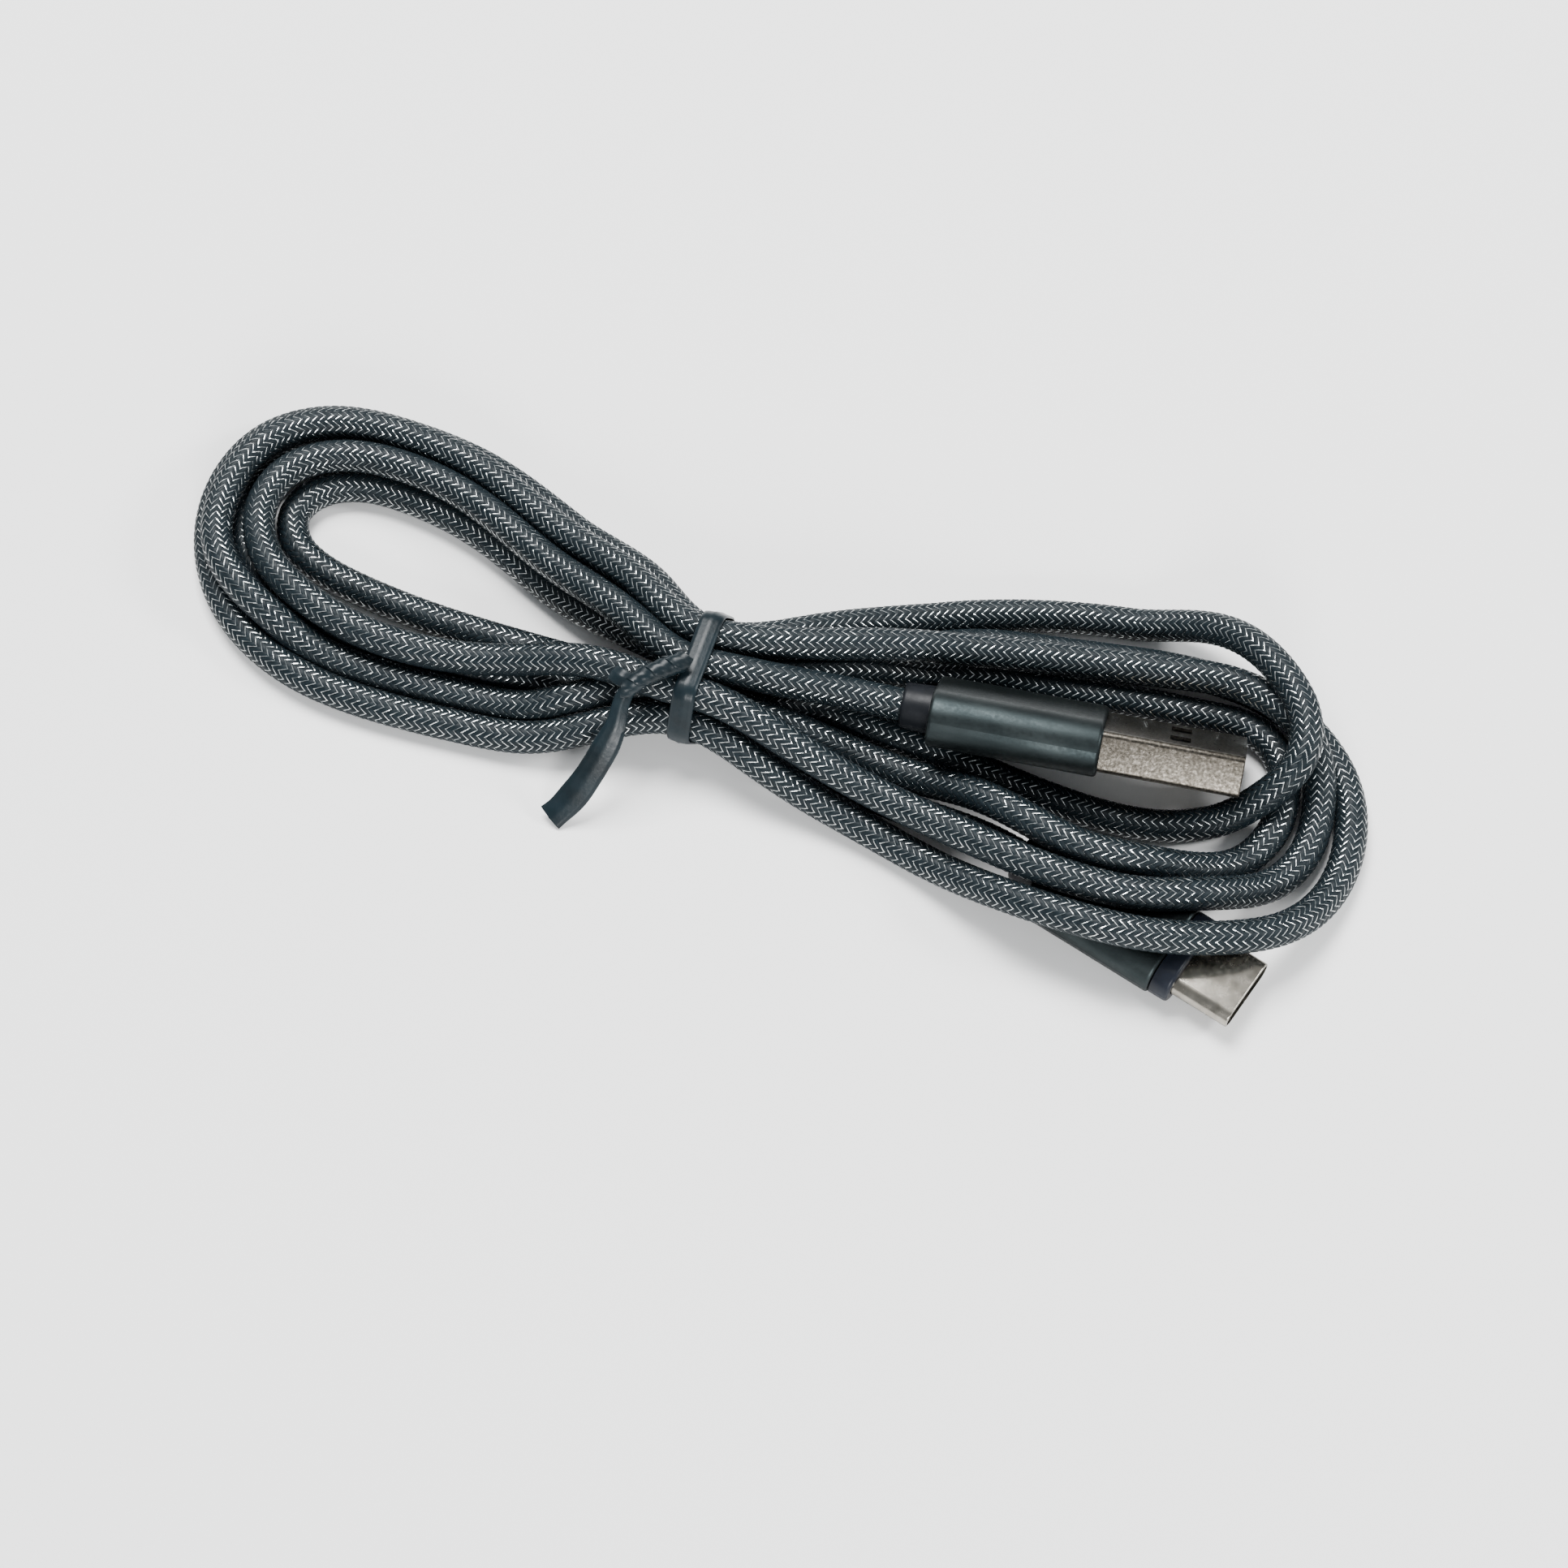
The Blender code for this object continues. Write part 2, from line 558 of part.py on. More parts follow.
def make_tie(mats, frame):
    """The twist tie: a band round the ten strands, its twist and its tail."""
    hull = ("low_front", "low_back", "mid_back", "top_back", "top_front", "mid_front")
    places = [Vector((0, *TIE_SLOTS[name])) for name in hull]
    inside, outside = [], []
    for i, here in enumerate(places):
        before = here - places[i - 1]
        after = places[(i + 1) % len(places)] - here
        first = math.atan2(-before.y, before.z)
        last = math.atan2(-after.y, after.z)
        if last < first:
            last += 2 * math.pi
        for step in range(5):
            turn = first + (last - first) * step / 4
            way = Vector((0, math.cos(turn), math.sin(turn)))
            inside.append(here + way * TIE_REACH)
            outside.append(here + way * (TIE_REACH + TIE_THICKNESS))
    bm = bmesh.new()
    left, right = TIE_X - TIE_WIDTH / 2, TIE_X + TIE_WIDTH / 2
    rings = []
    for x, ring in ((left, inside), (right, inside), (right, outside), (left, outside)):
        rings.append([bm.verts.new((x * MM, p.y * MM, p.z * MM)) for p in ring])
    for i in range(4):
        join_loops(bm, rings[i], rings[(i + 1) % 4])
    finish("twist_tie_band", bm, mats["tie"], frame)

    start, end = (Vector(point) for point in TWIST)
    twist = [start.lerp(end, i / TWIST_STEPS) for i in range(TWIST_STEPS + 1)]
    ribbon("twist_tie_twist", twist, [TWIST_TURN * i for i in range(TWIST_STEPS + 1)],
           *TWIST_SIZE, mats["tie"], frame)
    ribbon("twist_tie_tail", TAIL, [0.0] * len(TAIL), TAIL_WIDTH, TIE_THICKNESS,
           mats["tie"], frame)


# ----------------------------------------------------------------- assembly

def main():
    """Clear the scene and build the cable."""
    for obj in list(bpy.data.objects):
        bpy.data.objects.remove(obj, do_unlink=True)
    mats = make_materials()
    frame = empty("hank_frame", (-ORIGIN_FROM_TIE[0], -ORIGIN_FROM_TIE[1], 0.0), 0, 0, None)
    make_cable(mats, frame)
    make_usb_a(mats, frame)
    make_usb_c(mats, frame)
    make_tie(mats, frame)


main()
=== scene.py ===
"""Looks of the braided USB-A to USB-C charging cable, wound and tied.

Millimetres from the foot of the twist tie, turned into metres in the row frame
by to_row(). The route's points are those of the CAD cable.
"""
import math

import bmesh
import bpy
import numpy as np
from mathutils import Matrix, Vector


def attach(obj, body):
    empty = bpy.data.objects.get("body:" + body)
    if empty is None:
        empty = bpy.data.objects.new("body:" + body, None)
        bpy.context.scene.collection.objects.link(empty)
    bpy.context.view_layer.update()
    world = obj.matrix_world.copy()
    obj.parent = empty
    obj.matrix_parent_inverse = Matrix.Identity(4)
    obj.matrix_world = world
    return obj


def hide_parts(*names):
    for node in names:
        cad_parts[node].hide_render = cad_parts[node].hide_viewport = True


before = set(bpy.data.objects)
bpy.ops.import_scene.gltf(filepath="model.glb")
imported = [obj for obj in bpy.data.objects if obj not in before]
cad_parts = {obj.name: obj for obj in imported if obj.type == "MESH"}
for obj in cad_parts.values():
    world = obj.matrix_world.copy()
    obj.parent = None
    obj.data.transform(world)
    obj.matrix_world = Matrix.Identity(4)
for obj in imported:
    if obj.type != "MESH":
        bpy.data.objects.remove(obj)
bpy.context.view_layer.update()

MM = 0.001
ORIGIN_FROM_TIE = np.array((3.35, 0.5, 0.0))

# Camera, in millimetres and degrees
VIEW_TARGET = (9.01, -7.99, 0.0)
VIEW_AZIMUTH = 17.5
VIEW_ELEVATION = 62.0
VIEW_DISTANCE = 391.3
LENS = 83.85
SENSOR = 36.0

# Cable and its braid
CABLE_DIAMETER = 3.6
CARRIERS = 16                 # each way; the twill below needs an even number
BRAID_PITCH = 14.1            # one whole turn of a carrier
CROWN_RADIUS = 1.76           # where a carrier lies over the others
UNDER_RADIUS = 1.64           # where it dips under them
CORE_RADIUS = 1.58
CORE_SIDES = 20
CORE_ROW = 1.0                # from one ring of the core to the next
UV_UNIT = 10.0                # millimetres of yarn for one unit of its UV map
FILAMENT_WANDER = 0.008       # how far a filament's edge strays from its lay
RIBBON_ACROSS = (-0.29, -0.05, 0.2, 0.27)   # yarn edge, yarn crown, filament, edge
RIBBON_HEIGHT = (-0.06, 0.03, 0.0, -0.01)

# USB-A plug
A_TIP = (55.6, 5.2, 6.4)
A_YAW = 5.5
A_ROLL = 130.0
A_SHELL = (12.0, 4.5)
A_SHELL_CORNER = 0.65
A_SHELL_WALL = 0.3
A_SHELL_INNER_CORNER = 0.35
A_SHELL_EDGE = 0.14           # rounding of the mouth's rim
A_SHELL_EXPOSED = 15.0
A_BARREL = (14.0, 6.2)
A_BARREL_LENGTH = 18.3
A_MOUTH_CORNER = 0.75         # of the barrel's opening round the shell
A_MOUTH_DEPTH = 1.9
A_RELIEF_LENGTH = 3.3
A_WINDOW = (2.2, 2.5)
A_WINDOW_FRONT = -5.9
A_WINDOW_SIDES = (-2.5, 2.5)
A_WINDOW_REACH = (1.6, 2.8)   # from the shell's middle plane to the cutter's two ends
A_SHELL_SEAT = 1.7            # length of the shell that is inside the barrel

# USB-C plug
C_TIP = (62.4, -18.6, 2.75)
C_YAW = -17.5
C_ROLL = 0.0
C_SHELL = (8.34, 2.56)
C_SHELL_WALL = 0.25
C_SHELL_EDGE = 0.15
C_SHELL_SEAT = 1.0            # length of the shell that is inside the barrel
C_SHELL_EXPOSED = 6.65
C_FRONT_COLLAR_LENGTH = 2.1
C_COLLAR_STEP = 0.2           # how far the collar lies below the barrel's surface
C_COLLAR_EDGE = 0.35
C_BARREL = (10.8, 5.4)
C_BARREL_LENGTH = 15.9
C_RELIEF_LENGTH = 3.2

# Both plugs
BARREL_WALL = 0.7
BARREL_EDGE = 0.45            # rounding of the barrel's two ends
RELIEF_END = (5.2, 4.8)
RELIEF_EDGE = 0.4
RELIEF_FLARE = (0.7, 0.2)     # how much wider and higher the tail is at the barrel
RELIEF_FLANGE_LENGTH = 1.8
BORE = 4.1
GAP = 0.1

# Twist tie
TIE_X = -2.4
TIE_GRIP = 1.6                # each strand's points lie this far from the tie's middle
BAND_REACH = 1.88             # from a strand's middle to the band's inner side
TIE_PROFILE = ((-1.25, 0.1), (-1.16, 0.27), (-0.8, 0.35), (-0.3, 0.4), (0.0, 0.48),
               (0.3, 0.4), (0.8, 0.35), (1.16, 0.27), (1.25, 0.1), (1.16, 0.0), (-1.16, 0.0))
TIE_WOUND = ((-3.3, -3.2, 12.1), (-5.2, -4.8, 12.2), (-7.0, -6.4, 12.0), (-8.6, -8.2, 11.4))
TIE_WOUND_TURNS = 1.7         # turns of the two ends round each other
TIE_WOUND_RADIUS = 0.62
TIE_WOUND_WIDTH = 0.78        # part of the band's width
TIE_TAIL = ((-8.2, -7.9, 11.6), (-8.5, -9.3, 10.7), (-8.5, -11.0, 9.4), (-9.0, -13.0, 7.6),
            (-9.9, -15.0, 5.5), (-11.1, -17.0, 3.3), (-12.3, -18.5, 1.7), (-13.4, -19.6, 0.6))
TIE_TAIL_WIDTHS = (0.62, 0.72, 0.9, 1.12, 1.24, 1.24, 1.24, 1.24)  # parts of the band's width
TIE_SHORT_END = ((-8.2, -7.4, 12.0), (-9.3, -7.2, 12.2), (-10.1, -6.7, 11.8))
TIE_SHORT_WIDTH = 0.75
TIE_LEAN = 0.14               # how far the band strays sideways round the strands
TIE_HULL = ("low_front", "low_back", "mid_back", "top_back", "top_front", "mid_front")
TIE_CORNER_STEPS = 8          # steps round each strand at the hull's corners

# Softboxes: name, place, size in metres, watts
LIGHTS = (
    ("key", (-0.2, 0.3, 0.75), 0.4, 17.0),
    ("front", (0.25, -0.65, 0.35), 0.25, 7.0),
    ("right", (0.7, 0.2, 0.5), 0.2, 6.0),
)

# The strands' places side by side and over each other inside the tie (y, z)
TIE_SLOTS = {
    "low_front": (-5.1, 2.5),
    "low_middle": (-1.3, 2.5),
    "low_back": (2.5, 2.5),
    "mid_front": (-7.0, 5.8),
    "mid_inner_front": (-3.2, 5.8),
    "mid_inner_back": (0.6, 5.8),
    "mid_back": (4.4, 5.8),
    "top_front": (-5.1, 9.1),
    "top_middle": (-1.3, 9.1),
    "top_back": (2.5, 9.1),
}

# The cable's way from the USB-A plug to the USB-C plug. A name is a pass
# through the tie; between two names lies one turn round a lobe.
ROUTE = (
    (21.9, 1.95, 6.4), (18.7, 1.64, 6.4), (14, 1.1, 6.8), (6, -0.6, 8.6),
    "top_middle",
    (-11.5, 2.2, 8.3), (-22, 7.2, 6.0), (-34, 13.0, 5.2), (-43, 14.7, 5.2),
    (-50, 13.6, 5.3), (-54.4, 9.8, 5.4), (-55.2, 4.4, 5.4), (-52.6, -0.6, 5.4),
    (-46.6, -4.4, 5.3), (-35, -6.9, 5.2), (-24, -5.6, 5.5), (-13, -4.4, 8.6),
    "top_front",
    (7, -6.4, 8.0), (17, -8.4, 5.6), (27, -10.6, 5.9), (36, -12.8, 7.5),
    (44, -13.5, 7.8), (50, -12.8, 7.7), (54.5, -11.0, 7.0), (58.8, -8.0, 4.2),
    (62.2, -4.6, 2.1), (64.3, 0, 1.9), (64.3, 5, 2.8), (62.9, 9.2, 4.4),
    (60.3, 12.4, 5.3), (56.4, 14.7, 5.3), (51.5, 15.5, 5.3), (46, 14.9, 5.2),
    (36, 13.2, 5.2), (24, 10.4, 6.1), (17, 8.1, 7.4), (12, 6.2, 8.1),
    "top_back",
    (-12, 6.8, 7.8), (-22, 11.4, 5.7), (-34, 16.9, 5.2), (-44, 18.6, 5.2),
    (-52.3, 17.4, 5.3), (-57.9, 12.9, 5.4), (-59.7, 6.2, 5.4), (-58.6, 0, 5.4),
    (-55.2, -4.1, 5.3), (-50, -6.9, 4.4), (-43.5, -8.7, 2.2), (-35, -9.3, 1.8),
    (-25, -9.0, 1.8), (-18.5, -8.5, 3.3), (-15.5, -7.4, 4.6), (-12, -5.8, 5.3),
    "mid_inner_front",
    (7, -3.3, 4.6), (17, -3.5, 2.0), (22.5, -4.3, 2.5), (28, -5.3, 4.6),
    (34, -7.3, 6.8), (42, -9.4, 7.5), (49, -8.8, 6.9), (54.5, -6.2, 3.6),
    (58.2, -3.2, 1.9), (60.3, 1.0, 1.8), (60.4, 6, 1.8), (58.7, 10.2, 1.8),
    (55.4, 12.4, 1.8), (50.5, 12.6, 1.8), (43.5, 12.1, 1.8), (32, 10.9, 1.8),
    (24, 9.8, 1.8), (20.5, 8.35, 1.9), (17, 6.9, 3.3), (8, 3.0, 5.4),
    "mid_inner_back",
    (-11.5, 2.3, 4.6), (-21, 5.8, 2.1), (-32, 10.8, 1.8), (-41.5, 12.9, 1.8),
    (-47, 12.7, 1.8), (-51, 10.6, 1.8), (-52.6, 7.2, 1.8), (-51.3, 3.9, 1.8),
    (-47.6, 1.5, 1.8), (-42, 0.1, 1.8), (-35, -0.8, 1.8), (-22, -1.3, 1.8),
    (-12, -1.3, 1.9),
    "low_middle",
    (8, 0.4, 1.9), (18, 0.5, 1.8), (24, -0.3, 1.8), (30, -1.2, 1.8),
    (42, -2.4, 1.8), (50, -1.4, 1.8), (55, 1.0, 2.1), (58.6, 3.4, 5.0),
    (61.1, 6.9, 7.8), (60.7, 11.0, 8.9), (57.9, 15.2, 8.9), (53.4, 19.0, 7.9),
    (47.5, 21.6, 4.8), (41.5, 21.6, 2.1), (30, 19.4, 1.8), (18, 15.1, 1.9),
    (7, 8.5, 4.6),
    "mid_back",
    (-11, 9.0, 4.4), (-21, 13.9, 1.9), (-33, 18.9, 1.8), (-44, 20.7, 1.8),
    (-53, 19.9, 1.8), (-59.2, 15.6, 1.8), (-61.5, 9.4, 1.8), (-61.0, 3.0, 1.8),
    (-58.2, -3.0, 1.8), (-52.6, -8.5, 1.8), (-44.5, -12.0, 1.8), (-35, -13.0, 1.8),
    (-25, -12.7, 1.8), (-18.5, -12.0, 2.3), (-12.5, -10.0, 4.0),
    "mid_front",
    (6, -8.7, 4.8), (12, -10, 3.0), (18, -11.2, 2.0), (27, -13.7, 2.4),
    (36, -16.6, 6.0), (44, -17.8, 7.8), (52, -17.2, 7.8), (58, -15.3, 7.2),
    (62.6, -12.5, 5.7), (66, -8.5, 3.6), (68.1, -3.2, 2.0), (68.4, 2.6, 1.8),
    (66.8, 8.0, 1.8), (63.5, 12.3, 1.8), (58.6, 15.6, 1.8), (52.6, 17.2, 1.8),
    (46, 17.3, 1.8), (39, 16.4, 1.8), (32, 15.3, 1.8), (24, 13.7, 1.8),
    (17, 10.5, 1.8), (8, 5.2, 2.0),
    "low_back",
    (-12, 5.5, 1.9), (-21, 9.7, 1.8), (-33, 14.9, 1.8), (-44, 16.7, 1.8),
    (-52, 15.4, 1.8), (-56.8, 11.2, 1.8), (-57.7, 5.8, 1.8), (-55.0, 0.2, 1.8),
    (-47.5, -4.1, 1.8), (-35, -5.7, 1.8), (-23, -5.2, 1.8), (-12, -5.1, 1.9),
    "low_front",
    (8, -6.0, 1.9), (17, -7.2, 1.8), (25, -8.1, 1.8), (30.5, -8.8, 2.3),
    (34.48, -9.80, 2.75), (38.42, -11.04, 2.75),
)


def to_row(points):
    """Millimetres from the tie's foot, as metres in the row frame."""
    return (np.asarray(points, dtype=float) - ORIGIN_FROM_TIE) * MM


# ---------------------------------------------------------------- materials

def new_material(name, colour, roughness, metallic=0.0, **sockets):
    """A Principled material; the rest are values for its sockets by name.

    A texture linked to a socket later on takes over from the value set here.
    """
    mat = bpy.data.materials.new(name)
    mat.use_nodes = True
    shader = mat.node_tree.nodes["Principled BSDF"]
    shader.inputs["Base Color"].default_value = (*colour, 1.0)
    shader.inputs["Roughness"].default_value = roughness
    shader.inputs["Metallic"].default_value = metallic
    for key, value in sockets.items():
        shader.inputs[key.replace("_", " ")].default_value = value
    return mat


def noise(mat, scale, detail=4.0, stretch=(1, 1, 1), coordinates="Object", offset=0.0):
    """A noise texture's factor, in metres of the row frame or along the UV map."""
    nodes, links = mat.node_tree.nodes, mat.node_tree.links
    where = nodes.new("ShaderNodeTexCoord")
    mapping = nodes.new("ShaderNodeMapping")
    mapping.inputs["Scale"].default_value = stretch
    mapping.inputs["Location"].default_value = (offset, offset, offset)
    texture = nodes.new("ShaderNodeTexNoise")
    texture.inputs["Scale"].default_value = scale
    texture.inputs["Detail"].default_value = detail
    links.new(where.outputs[coordinates], mapping.inputs["Vector"])
    links.new(mapping.outputs["Vector"], texture.inputs["Vector"])
    return texture.outputs["Fac"]


def ramp(mat, factor, stops, socket):
    """Colours along a factor, into one of the shader's sockets."""
    nodes, links = mat.node_tree.nodes, mat.node_tree.links
    band = nodes.new("ShaderNodeValToRGB")
    band.color_ramp.elements[0].position = stops[0][0]
    band.color_ramp.elements[0].color = (*stops[0][1], 1.0)
    band.color_ramp.elements[1].position = stops[-1][0]
    band.color_ramp.elements[1].color = (*stops[-1][1], 1.0)
    for place, colour in stops[1:-1]:
        band.color_ramp.elements.new(place).color = (*colour, 1.0)
    links.new(factor, band.inputs["Fac"])
    links.new(band.outputs["Color"], nodes["Principled BSDF"].inputs[socket])


def spread(mat, factor, low, high, socket="Roughness"):
    """A factor mapped to a range, into one of the shader's sockets."""
    nodes, links = mat.node_tree.nodes, mat.node_tree.links
    mapped = nodes.new("ShaderNodeMapRange")
    mapped.inputs["From Min"].default_value = 0.3
    mapped.inputs["From Max"].default_value = 0.7
    mapped.inputs["To Min"].default_value = low
    mapped.inputs["To Max"].default_value = high
    links.new(factor, mapped.inputs["Value"])
    links.new(mapped.outputs["Result"], nodes["Principled BSDF"].inputs[socket])


def bump(mat, factor, strength, distance):
    """Relief from a factor; distance is in metres."""
    nodes, links = mat.node_tree.nodes, mat.node_tree.links
    relief = nodes.new("ShaderNodeBump")
    relief.inputs["Strength"].default_value = strength
    relief.inputs["Distance"].default_value = distance
    links.new(factor, relief.inputs["Height"])
    links.new(relief.outputs["Normal"], nodes["Principled BSDF"].inputs["Normal"])


def yarn_material():
    """Black multifilament yarn: fine fibres along each carrier."""
    mat = new_material("braid_black_yarn", (0.006, 0.009, 0.01), 0.55,
                       Specular_IOR_Level=0.14)
    fibres = noise(mat, 6.0, 3.0, stretch=(1.2, 40.0, 1.0), coordinates="UV")
    ramp(mat, fibres, ((0.35, (0.0015, 0.0036, 0.005)), (0.6, (0.0065, 0.012, 0.0155)),
                       (0.8, (0.026, 0.038, 0.044))), "Base Color")
    bump(mat, fibres, 0.5, 0.00004)
    spread(mat, noise(mat, 900.0), 0.36, 0.6)
    return mat


def filament_material():
    """The silver and clear filaments that run beside the yarn."""
    mat = new_material("braid_silver_filament", (0.7, 0.73, 0.73), 0.22, 1.0)
    streaks = noise(mat, 3.0, 2.0, stretch=(2.0, 10.0, 1.0), coordinates="UV")
    ramp(mat, streaks, ((0.32, (0.2, 0.225, 0.23)), (0.5, (0.5, 0.53, 0.53)),
                        (0.68, (0.9, 0.92, 0.91))), "Base Color")
    spread(mat, noise(mat, 1500.0, offset=3.0), 0.16, 0.42)
    return mat


def gunmetal_material():
    """Dark anodised aluminium with a fine blasted grain."""
    mat = new_material("barrel_gunmetal", (0.026, 0.031, 0.032), 0.46, 1.0)
    tone = noise(mat, 420.0, 5.0, stretch=(0.4, 1.0, 1.0))
    ramp(mat, tone, ((0.3, (0.016, 0.021, 0.022)), (0.7, (0.03, 0.037, 0.038))), "Base Color")
    grain = noise(mat, 9000.0, 3.0, offset=5.0)
    bump(mat, grain, 0.35, 0.00002)
    spread(mat, noise(mat, 2500.0, offset=9.0), 0.4, 0.52)
    return mat


def steel_material():
    """Warm grey plated steel, pitted and slightly stained."""
    mat = new_material("shell_plated_steel", (0.06, 0.054, 0.045), 0.4, 1.0)
    stain = noise(mat, 3200.0, 8.0)
    ramp(mat, stain, ((0.28, (0.03, 0.027, 0.022)), (0.5, (0.06, 0.054, 0.045)),
                      (0.72, (0.125, 0.114, 0.098))), "Base Color")
    pits = noise(mat, 5200.0, 6.0, offset=2.0)
    bump(mat, pits, 0.45, 0.00003)
    spread(mat, noise(mat, 3000.0, offset=7.0), 0.26, 0.44)
    return mat


def bright_steel_material():
    """The smoother plating of the USB-C shell."""
    mat = new_material("shell_bright_plating", (0.62, 0.59, 0.54), 0.24, 1.0)
    stain = noise(mat, 500.0, 5.0)
    ramp(mat, stain, ((0.3, (0.2, 0.185, 0.155)), (0.7, (0.34, 0.32, 0.28))), "Base Color")
    bump(mat, noise(mat, 3800.0, offset=4.0), 0.12, 0.00002)
    spread(mat, noise(mat, 900.0, offset=6.0), 0.2, 0.3)
    return mat


def moulded_material(name, colour, roughness, grain=6000.0, strength=0.2, **sockets):
    """Moulded plastic with a fine texture and slight colour variation."""
    mat = new_material(name, colour, roughness, **sockets)
    darker = tuple(0.75 * c for c in colour)
    lighter = tuple(min(1.0, 1.25 * c) for c in colour)
    ramp(mat, noise(mat, 350.0), ((0.35, darker), (0.65, lighter)), "Base Color")
    bump(mat, noise(mat, grain, offset=1.0), strength, 0.00003)
    spread(mat, noise(mat, 1200.0, offset=8.0), roughness * 0.85, roughness * 1.15)
    return mat


def gold_material():
    """Gold-plated contacts."""
    mat = new_material("contact_gold", (0.83, 0.6, 0.24), 0.25, 1.0)
    ramp(mat, noise(mat, 1500.0), ((0.35, (0.68, 0.47, 0.17)), (0.65, (0.9, 0.68, 0.3))),
         "Base Color")
    spread(mat, noise(mat, 4000.0, offset=3.0), 0.2, 0.34)
    return mat


# -------------------------------------------------------------------- pieces

def make_object(name, bm, mats, sharp=35.0, nodes=()):
    """A bmesh as a piece of the part, riding on its one body."""
    bmesh.ops.recalc_face_normals(bm, faces=bm.faces[:])
    mesh = bpy.data.meshes.new(name)
    bm.to_mesh(mesh)
    bm.free()
    for mat in mats:
        mesh.materials.append(mat)
    mesh.shade_smooth()
    mesh.set_sharp_from_angle(angle=math.radians(sharp))
    obj = bpy.data.objects.new(name, mesh)
    bpy.context.scene.collection.objects.link(obj)
    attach(obj, "root")
    if nodes:
        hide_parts(*nodes)
    return obj


def plug_matrix(tip, yaw, roll):
    """From a plug's own millimetres, mouth at x = 0, to the row frame."""
    turn = (Matrix.Rotation(math.radians(yaw), 4, "Z")
            @ Matrix.Rotation(math.radians(roll), 4, "X"))
    return Matrix.Translation(Vector(to_row(tip))) @ turn @ Matrix.Scale(MM, 4)


def outline(width, height, corner, steps=9):
    """Points of a rounded rectangle in the YZ plane, in order round it."""
    points = []
    for quarter in range(4):
        side_y = 1 if quarter in (0, 3) else -1
        side_z = 1 if quarter in (0, 1) else -1
        for step in range(steps + 1):
            turn = math.radians(90 * quarter + 90 * step / steps)
            points.append((side_y * (width / 2 - corner) + corner * math.cos(turn),
                           side_z * (height / 2 - corner) + corner * math.sin(turn)))
    return points


def loft(bm, sections, place):
    """Loops of vertices through sections (x, width, height, corner)."""
    loops = []
    for x, width, height, corner in sections:
        loops.append([bm.verts.new(place @ Vector((x, y, z)))
                      for y, z in outline(width, height, corner)])
    for first, second in zip(loops, loops[1:]):
        join(bm, first, second)
    return loops


def join(bm, first, second):
    """Fill the band between two loops of the same length."""
    count = len(first)
    for i in range(count):
        j = (i + 1) % count
        bm.faces.new((first[i], first[j], second[j], second[i]))


def rounded(x, size, edge, inward, steps=4):
    """Sections that round off a body's end, from its face at x inwards.

    inward is -1 where the body lies towards -x, and 1 where it lies towards +x.
    """
    width, height, corner = size
    sections = []
    for step in range(steps + 1):
        turn = math.radians(90 * step / steps)
        shrink = edge * (1 - math.sin(turn))
        sections.append((x + inward * edge * (1 - math.cos(turn)), width - 2 * shrink,
                         height - 2 * shrink, max(corner - shrink, 0.05)))
    return sections


def tube_piece(name, outer, inner, mats, place, nodes, sharp=35.0):
    """A sleeve: a lofted outside and a lofted bore, joined at both ends."""
    bm = bmesh.new()
    outside = loft(bm, outer, place)
    bore = loft(bm, inner, place)
    join(bm, outside[0], bore[0])
    join(bm, outside[-1], bore[-1])
    return make_object(name, bm, mats, sharp, nodes)


def box_faces(bm, low, high, place):
    """A rectangular block between two corners."""
    corners = [[(low, high)[(index >> axis) & 1][axis] for axis in range(3)]
               for index in range(8)]
    verts = [bm.verts.new(place @ Vector(corner)) for corner in corners]
    for face in ((0, 2, 3, 1), (4, 5, 7, 6), (0, 1, 5, 4), (2, 6, 7, 3), (0, 4, 6, 2),
                 (1, 3, 7, 5)):
        bm.faces.new([verts[i] for i in face])


# --------------------------------------------------------------------- cable

def route_points():
    """The route's points as an array, with the tie's slots put in."""
    points = []
    heading = -1
    for stop in ROUTE:
        if isinstance(stop, str):
            y, z = TIE_SLOTS[stop]
            points.append((TIE_X - heading * TIE_GRIP, y, z))
            points.append((TIE_X + heading * TIE_GRIP, y, z))
            heading = -heading
        else:
            points.append(stop)
    return np.array(points, dtype=float)


def smooth(points, per_span=12, floor=0.0):
    """A natural cubic spline through the points, as a dense polyline."""
    spans = np.linalg.norm(np.diff(points, axis=0), axis=1)
    count = len(points)
    system = np.eye(count)
    right = np.zeros((count, 3))
    for i in range(1, count - 1):
        before, after = spans[i - 1], spans[i]
        system[i, i - 1:i + 2] = before, 2 * (before + after), after
        right[i] = 6 * ((points[i + 1] - points[i]) / after
                        - (points[i] - points[i - 1]) / before)
    bend = np.linalg.solve(system, right)
    line = []
    for i, span in enumerate(spans):
        for step in range(per_span):
            done = span * step / per_span
            left = span - done
            line.append(bend[i] * left ** 3 / (6 * span)
                        + bend[i + 1] * done ** 3 / (6 * span)
                        + (points[i] / span - bend[i] * span / 6) * left
                        + (points[i + 1] / span - bend[i + 1] * span / 6) * done)
    line.append(points[-1])
    line = np.array(line)
    line[:, 2] = np.maximum(line[:, 2], floor)
    return line


def evenly(line, step):
    """A dense line cut into equal steps."""
    lengths = np.concatenate([[0], np.cumsum(np.linalg.norm(np.diff(line, axis=0), axis=1))])
    count = int(round(lengths[-1] / step))
    places = np.linspace(0, lengths[-1], count + 1)
    return np.stack([np.interp(places, lengths, line[:, axis]) for axis in range(3)], axis=1)


